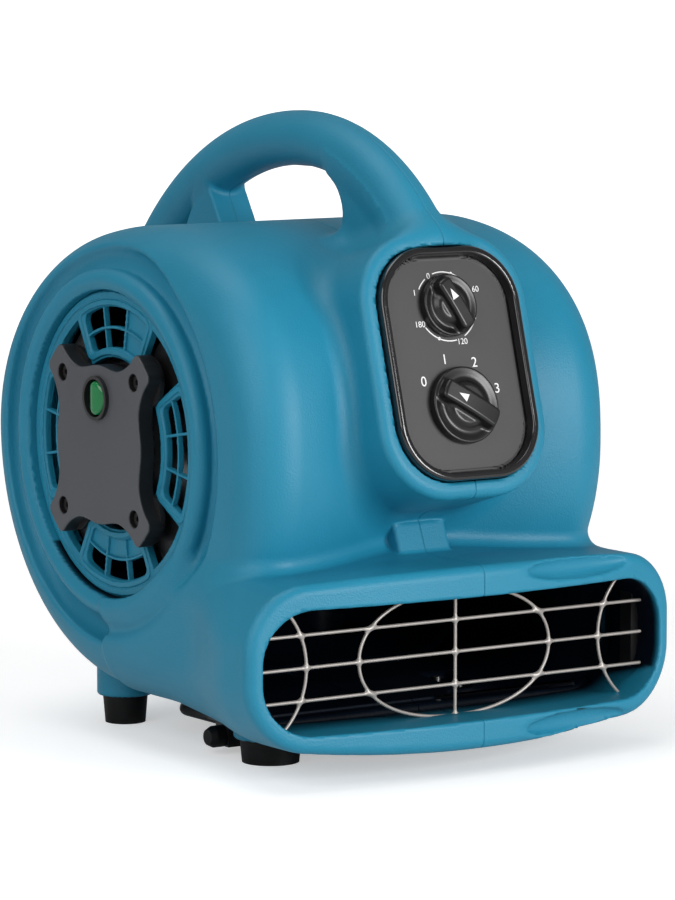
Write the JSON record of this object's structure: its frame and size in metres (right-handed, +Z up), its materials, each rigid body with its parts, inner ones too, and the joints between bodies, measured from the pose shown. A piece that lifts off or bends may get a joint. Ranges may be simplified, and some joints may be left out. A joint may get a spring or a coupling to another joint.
{
  "type": "centrifugal carpet blower",
  "caption": "Small centrifugal blower with side inlets, a wide low outlet behind a wire guard, a carrying handle and a tilted panel with timer and speed knobs.",
  "frame": {"origin": "on the floor under the middle of the object", "axes": "+X along the fan axis, to the right seen from the outlet; the air leaves along -Y; +Z up"},
  "size_m": [0.255, 0.3135, 0.32],
  "materials": {
    "teal_shell": "satin moulded teal with a fine grain",
    "dark_plate": "dark grey moulded plastic",
    "black_metal": "black painted pressed steel",
    "gloss_black": "polished black plastic",
    "panel_face": "satin dark grey panel",
    "switch_black": "black moulded plastic",
    "rocker_green": "translucent green plastic",
    "guard_wire": "light warm grey coated wire",
    "black_rubber": "moulded rubber",
    "steel": "zinc plated",
    "motor_iron": "laminated and painted iron",
    "copper": "lacquered copper wire",
    "wheel_plastic": "black moulded plastic"
  },
  "bodies": {
    "root": {"bracket_screws": "steel", "control_panel": "panel_face", "cord_gland": "switch_black", "foot_screws": "steel", "front_left_foot": "black_rubber", "front_right_foot": "black_rubber", "housing_screws": "steel", "ion_generator": "switch_black", "left_bearing": "steel", "left_coil": "copper", "left_grille_strip": "teal_shell", "left_housing": "teal_shell", "left_inlet_grille": "teal_shell", "left_stand_bracket": "black_metal", "motor_bracket": "black_metal", "motor_left_bell": "steel", "motor_mount_screws": "steel", "motor_right_bell": "steel", "motor_stator": "motor_iron", "outlet_grille": "guard_wire", "panel_bezel": "gloss_black", "plate_screws": "steel", "rear_left_foot": "black_rubber", "rear_right_foot": "black_rubber", "right_bearing": "steel", "right_cap_screws": "steel", "right_coil": "copper", "right_grille_strip": "teal_shell", "right_housing": "teal_shell", "right_hub_cap": "dark_plate", "right_inlet_grille": "teal_shell", "right_stand_bracket": "black_metal", "rocker_switch_body": "switch_black", "run_capacitor": "switch_black", "speed_switch_body": "switch_black", "switch_box": "switch_black", "switch_box_screws": "steel", "switch_plate": "dark_plate", "timer_switch_body": "switch_black"},
    "fan_rotor": {"impeller": "wheel_plastic", "impeller_set_screw": "steel", "motor_shaft": "steel", "rotor": "motor_iron"},
    "timer": {"timer_knob": "gloss_black", "timer_shaft": "steel"},
    "speed_selector": {"speed_knob": "gloss_black", "speed_shaft": "steel"},
    "rocker": {"rocker": "rocker_green"},
    "stand": {"kickstand": "black_metal", "left_stand_cap": "black_rubber", "right_stand_cap": "black_rubber"}
  },
  "joints": [
    {"name": "fan_spin", "type": "hinge", "parent": "root", "child": "fan_rotor", "pos_m": [0, 0.016, 0.1535], "axis": [1, 0, 0], "continuous": true},
    {"name": "timer_turn", "type": "hinge", "parent": "root", "child": "timer", "pos_m": [0, -0.12676, 0.22824], "axis": [0, 0.9629, -0.2698], "range_deg": [-40, 270]},
    {"name": "speed_turn", "type": "hinge", "parent": "root", "child": "speed_selector", "pos_m": [0, -0.14014, 0.18047], "axis": [0, 0.9629, -0.2698], "range_deg": [0, 129]},
    {"name": "rocker_tilt", "type": "hinge", "parent": "root", "child": "rocker", "pos_m": [-0.1074, 0.016, 0.1771], "axis": [0, 0, 1], "range_deg": [-16, 0]},
    {"name": "stand_fold", "type": "hinge", "parent": "root", "child": "stand", "pos_m": [0, -0.0344, 0.009], "axis": [-1, 0, 0], "range_deg": [0, 105]}
  ]
}
